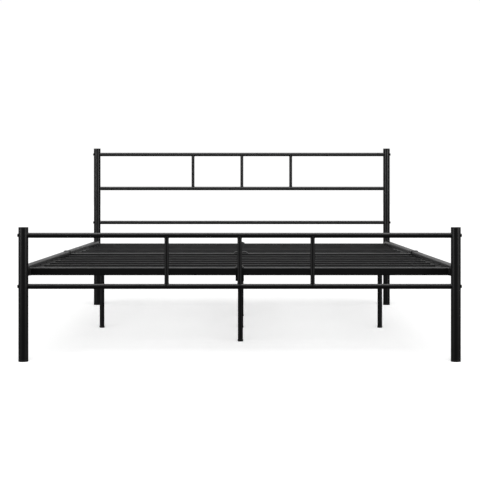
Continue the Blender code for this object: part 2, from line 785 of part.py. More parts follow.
def add_support_legs(parent):
    """Three legs under the middle cross rail and one under each half of the beam."""
    tall = leg_mesh("cross_rail_leg", CROSS_RAIL_BOTTOM - GAP)
    short = leg_mesh("beam_leg", BEAM_BOTTOM - GAP)
    for leg_name, x in (("left", -SIDE_LEG_X), ("centre", 0), ("right", SIDE_LEG_X)):
        place(f"support_leg_{leg_name}", tall, frame_coat(), (x, 0, 0), parent=parent)
    for leg_name, end in (("foot", -1), ("head", 1)):
        place(f"support_leg_{leg_name}", short, frame_coat(), (0, end * BEAM_LEG_Y, 0),
              parent=parent)


# ---------------------------------------------------------------- assembly

def clear_scene():
    """Remove every object of the startup scene."""
    for item in list(bpy.data.objects):
        bpy.data.objects.remove(item, do_unlink=True)


def main():
    """Build the whole bed frame: both panels, then the deck between them."""
    clear_scene()
    add_headboard()
    add_footboard()
    deck = add_empty("deck")
    add_side_rails(deck)
    add_end_rails(deck)
    add_middle_rail(deck)
    add_slats(deck)
    add_centre_beam(deck)
    add_support_legs(deck)


main()
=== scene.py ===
"""Finished pieces of a queen-size steel bed frame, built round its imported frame.

Metres, +Z up. The origin is on the floor under the middle of the bed, +Y points to the headboard
and +X to the right of somebody who stands at the foot and looks at the headboard.
"""

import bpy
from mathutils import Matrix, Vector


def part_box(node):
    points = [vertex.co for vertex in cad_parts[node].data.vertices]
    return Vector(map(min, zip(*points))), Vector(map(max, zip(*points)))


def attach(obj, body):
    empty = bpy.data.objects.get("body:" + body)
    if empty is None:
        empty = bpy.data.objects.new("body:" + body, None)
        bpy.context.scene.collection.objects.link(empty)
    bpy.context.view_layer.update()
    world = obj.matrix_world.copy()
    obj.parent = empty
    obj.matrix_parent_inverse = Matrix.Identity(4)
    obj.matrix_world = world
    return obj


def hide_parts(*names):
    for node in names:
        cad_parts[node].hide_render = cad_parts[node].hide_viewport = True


bl_info = {
    "name": "Slatted Steel Bed Frame",
    "version": (1, 0, 0),
    "blender": (4, 5, 0),
    "location": "3D View > Sidebar > Bed Frame",
    "description": "Tubular steel bed frame with folded slats, finished in black powder coat",
    "category": "Add Mesh",
}

import math

import bmesh
import bpy
from bpy.props import FloatProperty, FloatVectorProperty, IntProperty, PointerProperty
from mathutils import Matrix, Vector, noise

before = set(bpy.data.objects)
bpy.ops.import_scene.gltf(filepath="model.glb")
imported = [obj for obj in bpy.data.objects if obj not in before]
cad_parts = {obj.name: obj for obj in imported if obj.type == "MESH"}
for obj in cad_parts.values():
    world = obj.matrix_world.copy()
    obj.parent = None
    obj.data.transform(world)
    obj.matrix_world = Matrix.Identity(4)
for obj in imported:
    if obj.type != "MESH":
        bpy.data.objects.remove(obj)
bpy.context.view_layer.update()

SIDES = (("left", -1), ("right", 1))
ENDS = (("foot", -1), ("head", 1))
CORNERS = [(*end, *side) for end in ENDS for side in SIDES]
BOLTED_ROWS = ("top", "bottom")
SLATS_PER_HALF = 7
X_AXIS, Y_AXIS, Z_AXIS = Vector((1, 0, 0)), Vector((0, 1, 0)), Vector((0, 0, 1))
QUARTER_TURN = math.pi / 2
WHITE = (1.0, 1.0, 1.0, 1.0)

# Fits
TINY = 0.000001              # points closer than this are one point
GAP = 0.0003                 # left between pieces that fit together
ROUND_TUBE_CUT = 50.0        # edges sharper than this, in degrees, are rounded on round tubes
SQUARE_CUT = 60.0            # and on sheet and box sections
SHARP_SHADING = math.radians(48)

# Bolts and studs
BOLT_HOLE = 0.0084
HOLE_MARGIN = 0.006          # from the middle of a post's hole to the cuts above and below it
STUD_HOLE_DEPTH = 0.004
SHANK_RADIUS = 0.0039
HEAD_EDGE = 0.0006           # straight rim under the dome of a bolt's head
SHANK_CHAMFER = 0.0008
SOCKET_SIZE = 0.8            # hexagon, as a part of the flat on top of the head
SOCKET_DEPTH = 0.6           # as a part of the head's height
THREAD_PLUG_LENGTH = 0.016
THREAD_PLUG_INSET = 0.003    # from the rail's end to the plug
THREAD_CHAMFER = (0.0004, 0.0006)    # how much wider than the hole, and how deep

# Hooks between the side rails and the posts
HOOK_OFFSETS = (-0.0095, 0.0085)     # heights of the two necks from the rail's middle
HOOK_NECK = 0.008
HOOK_DROP = 0.005
HOOK_TIP = 0.003
HOOK_SLOT = 0.0038
HOOK_PLATE_SHEET = 0.003
HOOK_PLATE_LENGTH = 0.030
HOOK_PLATE_SETBACK = 0.004
SLEEVE_IN_FOOT_HALF = 0.060
SLEEVE_IN_HEAD_HALF = 0.020
SLAT_SLOT_REACH = 0.001      # from the inner wall's skin, both ways, where a slot is cut

# Caps and glides of the posts
CAP_RIM = 0.004
GATE_DEPTH = 0.0003
GLIDE_RIM = 0.006
GLIDE_RECESS = 0.0012
PLUG_GROOVES = ((0.0, 0), (0.004, 1), (0.006, 0), (0.010, 1), (0.012, 0))  # depth, sunk or not
GROOVE_DEPTH = 0.0004
PLUG_LEAD = 0.001
PLUG_WALL = 0.003

# Hooks over the side rails and the cross rails
SADDLE_LIP = 0.007
BEAM_PLAY = 0.0005           # between the beam's top and the lower edges of the slats
BEAM_HOOK_WIDTH = 0.030
BEAM_HOOK_LIP = 0.013
RIDGE_BASE = 0.0147
RIDGE_CREST = 0.005
RIDGE_HEIGHT = 0.0046
RIDGE_ROUNDING = 0.0012

# Weld beads
WELD_STEPS = 72              # round a spindle
WELD_SWELL = 0.35            # how unevenly a bead swells, as a part of its thickness
WELD_DROPS = 0.10            # and how deep the marks between its drops are
WELD_DROP_COUNT = 18.0

# Support legs
STUD_LENGTH = 0.010
LEG_PLUG = 0.012
LEG_LIFT = 0.003             # from the floor to the tube's lower end
SHOE_FLARE = 0.001
SHOE_HEIGHT = 0.008
SHOE_SOLE = 0.0028
SHOE_RECESS = 0.0008
SHOE_FIT = 0.00005

# Finishes
COAT_GLOSS = 0.5
SLAT_GLOSS = 0.24

# Stage
FLOOR_RADIUS = 45.0
FLOOR_GLOW = 0.42            # fills the shadow under the bed
SURROUND_LIGHT = 0.06
SURROUND_SEEN = 1.01
FLOOR_LIGHT_POWER = 3.35
FLOOR_LIGHT_SPREAD = math.radians(60)
FLOOR_LIGHT_TURN = (0.72, 0.05, 0.0)
SOFT_BOXES = (               # name, what takes its light, place, the point it faces, size, power
    ("front_floor_box", "floor", (0.0, -5.0, 1.0), (0.0, -0.8, 0.0), 2.5, 120.0),
    ("top_soft_box", "bed", (0.0, -0.8, 3.2), (0.0, 0.0, 0.0), 3.0, 110.0),
    ("left_soft_box", "bed", (-3.4, -2.6, 1.5), (0.0, 0.0, 0.4), 1.8, 50.0),
    ("right_soft_box", "bed", (3.4, -2.6, 1.5), (0.0, 0.0, 0.4), 1.8, 50.0),
    ("back_soft_box", "bed", (0.0, 5.0, 1.8), (0.0, 0.0, 0.4), 4.0, 30.0),
)


# ---- sizes and finishes to choose

def metres(name, description, default, low, high):
    """A length to choose."""
    return FloatProperty(name=name, description=description, default=default, min=low, max=high,
                         precision=4, subtype="DISTANCE", unit="LENGTH")


def tint(name, description, default):
    """A colour to choose."""
    return FloatVectorProperty(name=name, description=description, default=default,
                               min=0.0, max=1.0, size=3, subtype="COLOR")


def share(name, description, default):
    """A number from 0 to 1 to choose."""
    return FloatProperty(name=name, description=description, default=default,
                         min=0.0, max=1.0, subtype="FACTOR")


class BedSizes(bpy.types.PropertyGroup):
    """Sizes of tubes, slats and hooks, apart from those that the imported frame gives."""

    tube_wall: metres("Tube Wall", "Wall of the posts, the panel rails and the legs",
                      0.0015, 0.0005, 0.004)
    spindle_wall: metres("Spindle Wall", "Wall of the thin upright tubes in the panels",
                         0.0012, 0.0005, 0.004)
    section_corner: metres("Section Corner", "Outer corner radius of the box sections",
                           0.003, 0.001, 0.006)
    cut_edge: metres("Cut Edge Radius", "How far the coat rounds the cut ends of a tube",
                     0.0003, 0.0001, 0.001)
    weld_bead: metres("Weld Bead", "Thickness of the weld beads", 0.0012, 0.0005, 0.003)
    post_sides: IntProperty(
        name="Post Sides", description="Facets round a post", default=64, min=16, max=128)
    tube_sides: IntProperty(
        name="Tube Sides", description="Facets round a rail, a spindle or a leg", default=48,
        min=12, max=96)
    slat_wall: metres("Slat Sheet", "Thickness of the sheet that the slats are folded from",
                      0.0015, 0.0008, 0.003)
    slat_fold: metres("Slat Fold Radius", "Outer radius of the two long folds of a slat",
                      0.0026, 0.0016, 0.006)
    slat_end_gap: metres("Slat End Gap", "Between the channel's end and the side rail",
                         0.017, 0.0, 0.04)
    tongue_width: metres("Tongue Width", "Width of the tongue at each end of a slat",
                         0.024, 0.01, 0.036)
    beam_width: metres("Beam Width", "Width of the centre beam's box section",
                       0.026, 0.02, 0.04)
    hook_sheet: metres("Hook Sheet", "Thickness of the beam's hook plates",
                       0.003, 0.0015, 0.005)
    saddle_sheet: metres("Saddle Sheet", "Thickness of the middle cross rail's hook plates",
                         0.0022, 0.0015, 0.004)
    saddle_width: metres("Saddle Width", "Width of the middle cross rail's hook plates",
                         0.030, 0.02, 0.05)


class BedFinishes(bpy.types.PropertyGroup):
    """Colours and textures of the four finishes."""

    coat_colour: tint("Frame Coat", "Satin powder coat of the posts, the rails and the legs",
                      (0.0058, 0.0058, 0.0062))
    slat_colour: tint("Slat Coat", "Thinner and duller coat of the folded slats",
                      (0.0055, 0.0055, 0.0058))
    plastic_colour: tint("Moulded Plastic", "Polyethylene of the caps and the glides",
                         (0.0080, 0.0080, 0.0082))
    oxide_colour: tint("Black Oxide", "Oxide finish of the bolts", (0.034, 0.034, 0.034))
    coat_roughness: share("Coat Roughness", "Mean roughness of the frame's powder coat", 0.36)
    slat_roughness: share("Slat Roughness", "Mean roughness of the coat of the slats", 0.62)
    orange_peel: share("Orange Peel", "How strongly the powder coat's ripples show", 0.22)


class BedStage(bpy.types.PropertyGroup):
    """Floor and camera."""

    floor_colour: tint("Floor", "Colour of the plain floor", (0.80, 0.80, 0.80))
    camera_distance: metres("Camera Distance", "From the camera to the middles of the foot posts",
                            4.190, 1.0, 20.0)
    camera_height: metres("Camera Height", "Height of the camera above the floor",
                          0.590, 0.05, 5.0)
    camera_offset: metres("Camera Offset", "How far the camera stands to the right",
                          0.0234, -2.0, 2.0)
    lens: FloatProperty(
        name="Lens", description="Focal length on a sensor 36 mm wide",
        default=91.2, min=20.0, max=300.0, unit="CAMERA")
    shift_across: FloatProperty(
        name="Shift Across", description="Sideways shift of the lens", default=-0.0133,
        min=-0.5, max=0.5)
    shift_up: FloatProperty(
        name="Shift Up", description="Upward shift of the lens", default=-0.1035,
        min=-0.5, max=0.5)


# ---- finishes

class Signal:
    """A socket in a finish's nodes. Sums and products of it add Math nodes."""

    def __init__(self, finish, socket):
        self.finish = finish
        self.socket = socket

    def maths(self, operation, other):
        return self.finish.add("ShaderNodeMath", {"operation": operation}, {0: self, 1: other})

    def __add__(self, other):
        return self.maths("ADD", other)

    def __mul__(self, other):
        return self.maths("MULTIPLY", other)

    __radd__ = __add__
    __rmul__ = __mul__


class Finish:
    """A new material and its nodes, with a Principled shader to feed."""

    def __init__(self, name):
        self.material = bpy.data.materials.new(name)
        self.material.use_nodes = True
        self.nodes = self.material.node_tree.nodes
        self.links = self.material.node_tree.links
        self.place = None

    def add(self, kind, settings=None, sockets=None, output=0):
        """Add a node: its settings first, then the values or links of its sockets."""
        node = self.nodes.new(kind)
        for setting, value in (settings or {}).items():
            if setting == "stops":
                for stop, (position, brightness) in zip(node.color_ramp.elements, value):
                    stop.position = position
                    stop.color = (brightness, brightness, brightness, 1.0)
            else:
                setattr(node, setting, value)
        self.feed(node, sockets or {})
        return Signal(self, node.outputs[output])

    def feed(self, node, sockets):
        """Link signals to a node's sockets, or set the sockets' own values."""
        for socket, value in sockets.items():
            if isinstance(value, Signal):
                self.links.new(value.socket, node.inputs[socket])
            else:
                node.inputs[socket].default_value = value

    def shade(self, sockets):
        """Feed the shader, and give back the finished material."""
        self.feed(self.nodes["Principled BSDF"], sockets)
        return self.material

    def grain(self, scale, detail):
        """Noise of about one cell per 1/scale metres of the piece, as a number from 0 to 1."""
        if self.place is None:
            self.place = self.add("ShaderNodeTexCoord", output="Object")
        return self.add("ShaderNodeTexNoise", {},
                        {"Vector": self.place, "Scale": scale, "Detail": detail})

    def blended(self, mask, dark, light):
        """A colour between two others."""
        return self.add("ShaderNodeMix", {"data_type": "RGBA"},
                        {0: mask, 6: (*dark, 1.0), 7: (*light, 1.0)}, output=2)

    def bumped(self, strength, depth, height):
        """The surface's normals over a relief of a given depth in metres."""
        return self.add("ShaderNodeBump", {},
                        {"Strength": strength, "Distance": depth, "Height": height})


def powder_coat(name, colour, mean_roughness, peel, gloss):
    """Baked powder coat: fine ripples, slight clouds of gloss and a trace of dust on top."""
    finish = Finish(name)
    ripples = finish.grain(620.0, 2.0)
    swell = finish.grain(170.0, 1.0)
    clouds = finish.grain(14.0, 3.0)
    specks = finish.add("ShaderNodeValToRGB", {"stops": ((0.66, 0.0), (0.78, 1.0))},
                        {"Fac": finish.grain(900.0, 0.0)})
    facing = finish.add("ShaderNodeNewGeometry", output="Normal")
    upward = finish.add("ShaderNodeSeparateXYZ", {}, {0: facing}, output=2)
    dust = finish.add("ShaderNodeMapRange", {"clamp": True},
                      {"Value": upward * clouds, "From Min": 0.30, "From Max": 0.75,
                       "To Min": 0.0, "To Max": 0.30})
    lighter = tuple(channel * 1.9 + 0.004 for channel in colour)
    tone = dust + specks * 0.10 + clouds * 0.16
    return finish.shade({
        "Base Color": finish.blended(tone, colour, lighter),
        "Roughness": clouds * 0.12 + ripples * 0.06 + dust * 0.25 + (mean_roughness - 0.10),
        "Normal": finish.bumped(peel, 0.0004, ripples * 0.55 + swell * 0.45),
        "Specular IOR Level": gloss,
    })


def moulded_polyethylene(name, colour):
    """Moulded plastic: the fine even texture of a spark-eroded mould, and handling marks."""
    finish = Finish(name)
    texture = finish.grain(2400.0, 1.0)
    smears = finish.grain(90.0, 3.0)
    lighter = tuple(channel * 1.8 + 0.003 for channel in colour)
    return finish.shade({
        "Base Color": finish.blended(smears, colour, lighter),
        "Roughness": smears * 0.18 + texture * 0.08 + 0.40,
        "Normal": finish.bumped(0.30, 0.0001, texture),
    })


def black_oxide(name, colour):
    """Black oxide on steel: faint patches of brown, and fine cold-headed texture."""
    finish = Finish(name)
    patches = finish.grain(260.0, 4.0)
    texture = finish.grain(1800.0, 2.0)
    brown = (colour[0] * 1.3, colour[1] * 1.18, colour[2] * 1.1)
    return finish.shade({
        "Base Color": finish.blended(patches, colour, brown),
        "Roughness": patches * 0.20 + texture * 0.08 + 0.26,
        "Metallic": 1.0,
        "Normal": finish.bumped(0.20, 0.0001, texture + patches),
    })


def finish_for(slot_name):
    """The material of one of the record's four slots, made the first time it is asked for."""
    name = f"{slot_name}_finish"
    chosen = bpy.context.scene.bed_finishes
    makers = {
        "frame_coat": lambda: powder_coat(name, chosen.coat_colour, chosen.coat_roughness,
                                          chosen.orange_peel, COAT_GLOSS),
        "slat_coat": lambda: powder_coat(name, chosen.slat_colour, chosen.slat_roughness,
                                         chosen.orange_peel, SLAT_GLOSS),
        "moulded_plastic": lambda: moulded_polyethylene(name, chosen.plastic_colour),
        "blackened_steel": lambda: black_oxide(name, chosen.oxide_colour),
    }
    return bpy.data.materials.get(name) or makers[slot_name]()


# ---- shaping tools

class Space:
    """The box that a CAD node fills: its corners, its middle, its sizes and where it stands."""

    def __init__(self, node):
        self.node = node
        self.low, self.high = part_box(node)
        self.middle = (self.low + self.high) / 2
        self.width, self.length, self.height = (
            high - low for low, high in zip(self.low, self.high))
        self.stand = (self.middle.x, self.middle.y, 0.0)


def moved(shape, by):
    """The shape, moved by a vector."""
    bmesh.ops.translate(shape, verts=shape.verts, vec=by)
    return shape


def turn(shape, angle, axis):
    """Turn a shape about an axis through the origin."""
    bmesh.ops.rotate(shape, matrix=Matrix.Rotation(angle, 3, axis), verts=shape.verts)


def new_verts(result):
    """The vertices among what an extrude made."""
    return [item for item in result["geom"] if isinstance(item, bmesh.types.BMVert)]


def pull(shape, edges, by):
    """Extrude edges by a vector, and give back the edges that this made."""
    pulled = bmesh.ops.extrude_edge_only(shape, edges=edges)
    bmesh.ops.translate(shape, verts=new_verts(pulled), vec=by)
    return [item for item in pulled["geom"] if isinstance(item, bmesh.types.BMEdge)]


def round_corners(shape, corners, radius, segments=5):
    """Round corners of a flat outline or of a bent wire."""
    bmesh.ops.bevel(shape, geom=corners, offset=radius, offset_type="OFFSET", segments=segments,
                    profile=0.5, affect="VERTICES", material=-1)


def full_spin(shape, steps):
    """Spin a wire right round Z, and close its seam and its poles."""
    bmesh.ops.spin(shape, geom=list(shape.verts) + list(shape.edges), axis=(0, 0, 1),
                   cent=(0, 0, 0), angle=math.tau, steps=steps, use_merge=True)
    bmesh.ops.remove_doubles(shape, verts=shape.verts, dist=TINY)


def wire(points, closed=False):
    """Edges from point to point, and their vertices in order."""
    shape = bmesh.new()
    verts = [shape.verts.new(point) for point in points]
    for pair in zip(verts, verts[1:] + verts[:1] if closed else verts[1:]):
        shape.edges.new(pair)
    return shape, verts


def round_skin(radius, low, high, sides):
    """Skin of a round tube along Z between two heights."""
    shape = bmesh.new()
    bmesh.ops.create_circle(shape, cap_ends=False, segments=sides, radius=radius,
                            matrix=Matrix.Translation((0, 0, low)))
    pull(shape, list(shape.edges), (0, 0, high - low))
    return shape


def section_skin(width, height, start, stop, corner):
    """Skin of a rectangular tube along Y between two places, with rounded corners."""
    shape = bmesh.new()
    bmesh.ops.create_grid(shape, x_segments=1, y_segments=1, size=0.5)
    bmesh.ops.scale(shape, vec=(width, height, 1.0), verts=shape.verts)
    round_corners(shape, list(shape.verts), corner)
    bmesh.ops.delete(shape, geom=list(shape.faces), context="FACES_ONLY")
    turn(shape, QUARTER_TURN, "X")
    moved(shape, (0, start, 0))
    pull(shape, list(shape.edges), (0, stop - start, 0))
    return shape


def slice_across(shape, place, direction, faces=None):
    """Cut new edges into the faces where a plane meets them."""
    faces = list(shape.faces) if faces is None else faces
    edges = {edge for face in faces for edge in face.edges}
    verts = {vert for face in faces for vert in face.verts}
    bmesh.ops.bisect_plane(shape, geom=faces + list(edges) + list(verts), dist=TINY,
                           plane_co=place, plane_no=direction)


def faces_near(shape, centre, reach):
    """Faces whose box comes within reach of a point, along all three axes."""
    near = []
    for face in shape.faces:
        spans = [[vert.co[axis] for vert in face.verts] for axis in range(3)]
        if all(min(span) <= centre[axis] + reach[axis] and max(span) >= centre[axis] - reach[axis]
               for axis, span in enumerate(spans)):
            near.append(face)
    return near


def cut_window(shape, low, high):
    """Cut a rectangular window in the skin where it lies inside a box."""
    low, high = Vector(low), Vector(high)
    centre, reach = (low + high) / 2, (high - low) / 2
    for direction in (Z_AXIS, Y_AXIS, X_AXIS):
        for corner in (low, high):
            slice_across(shape, corner, direction, faces_near(shape, centre, reach))
    inside = [face for face in faces_near(shape, centre, reach)
              if all(abs(face.calc_center_median()[axis] - centre[axis]) < reach[axis]
                     for axis in range(3))]
    bmesh.ops.delete(shape, geom=inside, context="FACES")


def drill(shape, centre, direction, depth, sides=16):
    """Cut a bolt hole in the skin, centred on a point and as deep as asked both ways."""
    centre, radius = Vector(centre), BOLT_HOLE / 2
    reach = [radius + abs(part) * (depth - radius) for part in direction]
    aim = Z_AXIS.rotation_difference(direction)
    for step in range(sides):
        angle = math.tau * step / sides
        outwards = aim @ Vector((math.cos(angle), math.sin(angle), 0.0))
        slice_across(shape, centre + outwards * radius, outwards,
                     faces_near(shape, centre, reach))
    inside = []
    for face in faces_near(shape, centre, reach):
        offset = face.calc_center_median() - centre
        across = offset - direction * offset.dot(direction)
        if across.length < radius and abs(offset.dot(direction)) < depth:
            inside.append(face)
    bmesh.ops.delete(shape, geom=inside, context="FACES")


def give_wall(shape, wall, outwards=None, edge=None):
    """Thicken a skin inwards, and round its edges if a radius for them is given.

    The widest face of an open skin looks in a given direction.
    """
    bmesh.ops.recalc_face_normals(shape, faces=shape.faces)
    if outwards is not None:
        widest = max(shape.faces, key=lambda face: face.calc_area())
        if widest.normal.dot(Vector(outwards)) < 0.0:
            bmesh.ops.reverse_faces(shape, faces=shape.faces)
    bmesh.ops.solidify(shape, geom=list(shape.faces), thickness=wall)
    if edge:
        soften(shape, edge)


def soften(shape, radius, sharper_than=SQUARE_CUT, segments=2):
    """Round every edge of a closed shape that is sharper than an angle in degrees."""
    limit = math.radians(sharper_than)
    sharp = [edge for edge in shape.edges
             if len(edge.link_faces) == 2 and edge.calc_face_angle() > limit]
    bmesh.ops.bevel(shape, geom=sharp, offset=radius, offset_type="OFFSET", segments=segments,
                    profile=0.5, affect="EDGES", clamp_overlap=True, material=-1)


def cope(shape, along, across, ends, radius):
    """Hollow flat ends of a tube so that they fit round tubes centred on those ends.

    Each end is its place along the tube, and the way into the tube, 1 or -1.
    """
    for vert in shape.verts:
        for place, inwards in ends:
            if abs(vert.co[along] - place) < TINY:
                vert.co[along] += inwards * math.sqrt(radius ** 2 - vert.co[across] ** 2)


def turned(profile, sides):
    """Turn a profile about Z. Its points are (radius, height, rounding of that corner)."""
    closed = profile[0][0] > 0.0 and profile[-1][0] > 0.0
    shape, points = wire([(radius, 0.0, height) for radius, height, _ in profile], closed)
    for rounding in sorted({rounding for _, _, rounding in profile if rounding}):
        corners = [point for point, (_, _, size) in zip(points, profile) if size == rounding]
        round_corners(shape, corners, rounding, 4)
    full_spin(shape, sides)
    return shape


def bent_sheet(path, width, fold, across):
    """Skin of a strip bent along a path, as wide as asked along an axis and centred on it."""
    shape, points = wire(path)
    round_corners(shape, points[1:-1], fold)
    moved(shape, across * (-width / 2))
    pull(shape, list(shape.edges), across * width)
    return shape


def flat_plate(outline, thickness, across):
    """Plate of an outline, centred on it along the axis that its thickness runs along."""
    shape = bmesh.new()
    corners = [shape.verts.new(Vector(point) - across * (thickness / 2)) for point in outline]
    face = shape.faces.new(corners)
    pulled = bmesh.ops.extrude_face_region(shape, geom=[face])
    bmesh.ops.translate(shape, verts=new_verts(pulled), vec=across * thickness)
    return shape


def joined(*shapes):
    """Put several shapes together in the first one."""
    whole = shapes[0]
    for other in shapes[1:]:
        bmesh.ops.recalc_face_normals(other, faces=other.faces)
        mesh = bpy.data.meshes.new("joined")
        other.to_mesh(mesh)
        other.free()
        whole.from_mesh(mesh)
        bpy.data.meshes.remove(mesh)
    return whole


def finished(space, part, shape, place, slot_name="frame_coat"):
    """Put a shape in its place, as a piece that stands for a CAD node, in a slot's finish."""
    name = f"{space.node}_{part}"
    moved(shape, place)
    bmesh.ops.remove_doubles(shape, verts=shape.verts, dist=TINY)
    bmesh.ops.recalc_face_normals(shape, faces=shape.faces)
    if not shape.faces:
        raise RuntimeError(f"{name} has no faces")
    mesh = bpy.data.meshes.new(name)
    shape.to_mesh(mesh)
    shape.free()
    mesh.shade_smooth()
    mesh.set_sharp_from_angle(angle=SHARP_SHADING)
    mesh.materials.append(finish_for(slot_name))
    piece = bpy.data.objects.new(name, mesh)
    bpy.context.scene.collection.objects.link(piece)
    even = piece.modifiers.new("even shading", "WEIGHTED_NORMAL")
    even.keep_sharp = True
    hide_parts(space.node)
    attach(piece, "root")


# ---- welds

def ring_weld(tube_radius, rail_radius, bead, upwards):
    """Bead round the end of an upright tube, laid down over the round rail that it meets.

    The rail's axis is X through the origin, and the tube stands on it, or hangs under it.
    """
    shape = bmesh.new()
    place = Matrix.Translation((tube_radius, 0, rail_radius)) @ Matrix.Rotation(
        QUARTER_TURN, 4, "X")
    bmesh.ops.create_circle(shape, cap_ends=False, segments=10, radius=bead, matrix=place)
    full_spin(shape, WELD_STEPS)
    for vert in shape.verts:
        flat = Vector((vert.co.x, vert.co.y, 0.0))
        middle = flat.normalized() * tube_radius + Z_AXIS * rail_radius
        swell = WELD_SWELL * noise.noise(flat.normalized() * 6.0)
        drops = WELD_DROPS * math.sin(WELD_DROP_COUNT * math.atan2(flat.y, flat.x))
        vert.co = middle + (vert.co - middle) * (1.0 + swell + drops)
        vert.co.z -= rail_radius - math.sqrt(rail_radius ** 2 - (middle.y * 0.98) ** 2)
    if not upwards:
        bmesh.ops.scale(shape, vec=(1, 1, -1), verts=shape.verts)
        bmesh.ops.recalc_face_normals(shape, faces=shape.faces)
    return shape


def collar_weld(width, height, corner, bead, seed):
    """Fillet of weld round the end of a rectangular tube, which runs along Y from Y = 0."""
    shape = section_skin(width, height, 0.0, 2.0 * bead, corner)
    long_edges = [edge for edge in shape.edges if edge.calc_length() > 4.0 * bead]
    bmesh.ops.subdivide_edges(shape, edges=long_edges, cuts=14, use_grid_fill=True)
    across = [edge for edge in shape.edges
              if abs(edge.verts[0].co.y - edge.verts[1].co.y) > bead]
    bmesh.ops.subdivide_edges(shape, edges=across, cuts=3, use_grid_fill=True)
    for vert in shape.verts:
        nearness = max(0.0, 1.0 - vert.co.y / (2.0 * bead))
        ripple = 1.0 + 0.5 * noise.noise(Vector((vert.co.x, vert.co.z, seed)) * 260.0)
        lift = bead * ripple * nearness ** 0.7
        for axis, size in ((0, width), (2, height)):
            if abs(vert.co[axis]) > size / 2 - corner:
                vert.co[axis] += math.copysign(lift, vert.co[axis])
    give_wall(shape, bead * 0.2)
    return shape


# ---- posts

class BED_OT_add_posts(bpy.types.Operator):
    """Add the four round corner posts, drilled for the panel bolts and slotted for the hooks"""

    bl_idname = "bed.add_posts"
    bl_label = "Corner Posts"

    def execute(self, context):
        sizes = context.scene.bed_sizes
        for end_name, end, side_name, _ in CORNERS:
            post = Space(f"{end_name}_post_{side_name}")
            radius = post.width / 2
            shape = round_skin(radius, post.low.z, post.high.z, sizes.post_sides)
            self.drill_for_bolts(shape, end_name, side_name, 2 * radius)
            self.slot_for_hooks(shape, side_name, end, radius, sizes.tube_wall)
            give_wall(shape, sizes.tube_wall)
            soften(shape, sizes.cut_edge, ROUND_TUBE_CUT)
            finished(post, "tube", shape, post.stand)
        return {"FINISHED"}

    def drill_for_bolts(self, shape, end_name, side_name, depth):
        """Holes through both walls for the bolts of the top and the bottom rail."""
        for row_name in BOLTED_ROWS:
            bolt = Space(f"{end_name}board_bolt_{row_name}_{side_name}").middle
            for offset in (-HOLE_MARGIN, HOLE_MARGIN):
                slice_across(shape, (0, 0, bolt.z + offset), Z_AXIS)
            drill(shape, (0, 0, bolt.z), X_AXIS, depth)

    def slot_for_hooks(self, shape, side_name, end, radius, wall):
        """Slots for the two hooks of the side rail, on the side that faces the bed."""
        rail = Space(f"side_rail_{side_name}_foot_half").middle
        for offset in HOOK_OFFSETS:
            bottom = rail.z + offset - HOOK_NECK / 2 - GAP
            top = bottom + HOOK_NECK + HOOK_DROP + 3 * GAP
            for height in (bottom, top):
                slice_across(shape, (0, 0, height), Z_AXIS)
            near, far = sorted((-end * (radius + wall), -end * radius / 2))
            cut_window(shape, (-HOOK_SLOT / 2, near, bottom), (HOOK_SLOT / 2, far, top))


class BED_OT_add_post_fittings(bpy.types.Operator):
    """Add the moulded caps in the tops of the posts and the glides under them"""

    bl_idname = "bed.add_post_fittings"
    bl_label = "Post Caps and Glides"

    def execute(self, context):
        sizes = context.scene.bed_sizes
        for end_name, _, side_name, _ in CORNERS:
            self.add_cap(Space(f"{end_name}_post_cap_{side_name}"), sizes)
            self.add_glide(Space(f"{end_name}_post_glide_{side_name}"), sizes)
        return {"FINISHED"}

    def add_cap(self, cap, sizes):
        """Flat cap with a rounded rim, a small gate mark and a plug."""
        radius, top = cap.width / 2, cap.high.z
        self.add_moulding(cap, [
            (0.0, top - GATE_DEPTH, 0.0), (0.0012, top - GATE_DEPTH, 0.0), (0.0016, top, 0.0),
            (radius, top, 0.0013), (radius, top - CAP_RIM, 0.0003)], cap.low.z, sizes)

    def add_glide(self, glide, sizes):
        """Thick foot with a rounded lower edge, a recess under it and a plug."""
        radius, floor = glide.width / 2, glide.low.z
        self.add_moulding(glide, [
            (0.0, floor + GLIDE_RECESS, 0.0), (radius - 0.009, floor + GLIDE_RECESS, 0.0003),
            (radius - 0.008, floor, 0.0003), (radius, floor, 0.0018),
            (radius, floor + GLIDE_RIM, 0.0004)], glide.high.z, sizes)

    def add_moulding(self, space, outside, end, sizes):
        """Turn the outside, and a hollow grooved plug from its seat to its end in the tube."""
        plug = space.width / 2 - sizes.tube_wall - GAP
        seat = outside[-1][1]
        way = math.copysign(1.0, end - seat)
        grooves = [(plug - sunk * GROOVE_DEPTH, seat + way * reach, 0.0)
                   for reach, sunk in PLUG_GROOVES]
        hollow = [(plug - PLUG_LEAD, end, 0.0), (plug - PLUG_WALL, end, 0.0),
                  (plug - PLUG_WALL, seat, 0.0), (0.0, seat, 0.0)]
        shape = turned(outside + grooves + hollow, sizes.post_sides)
        finished(space, "moulding", shape, space.stand, "moulded_plastic")


# ---- head and foot panels

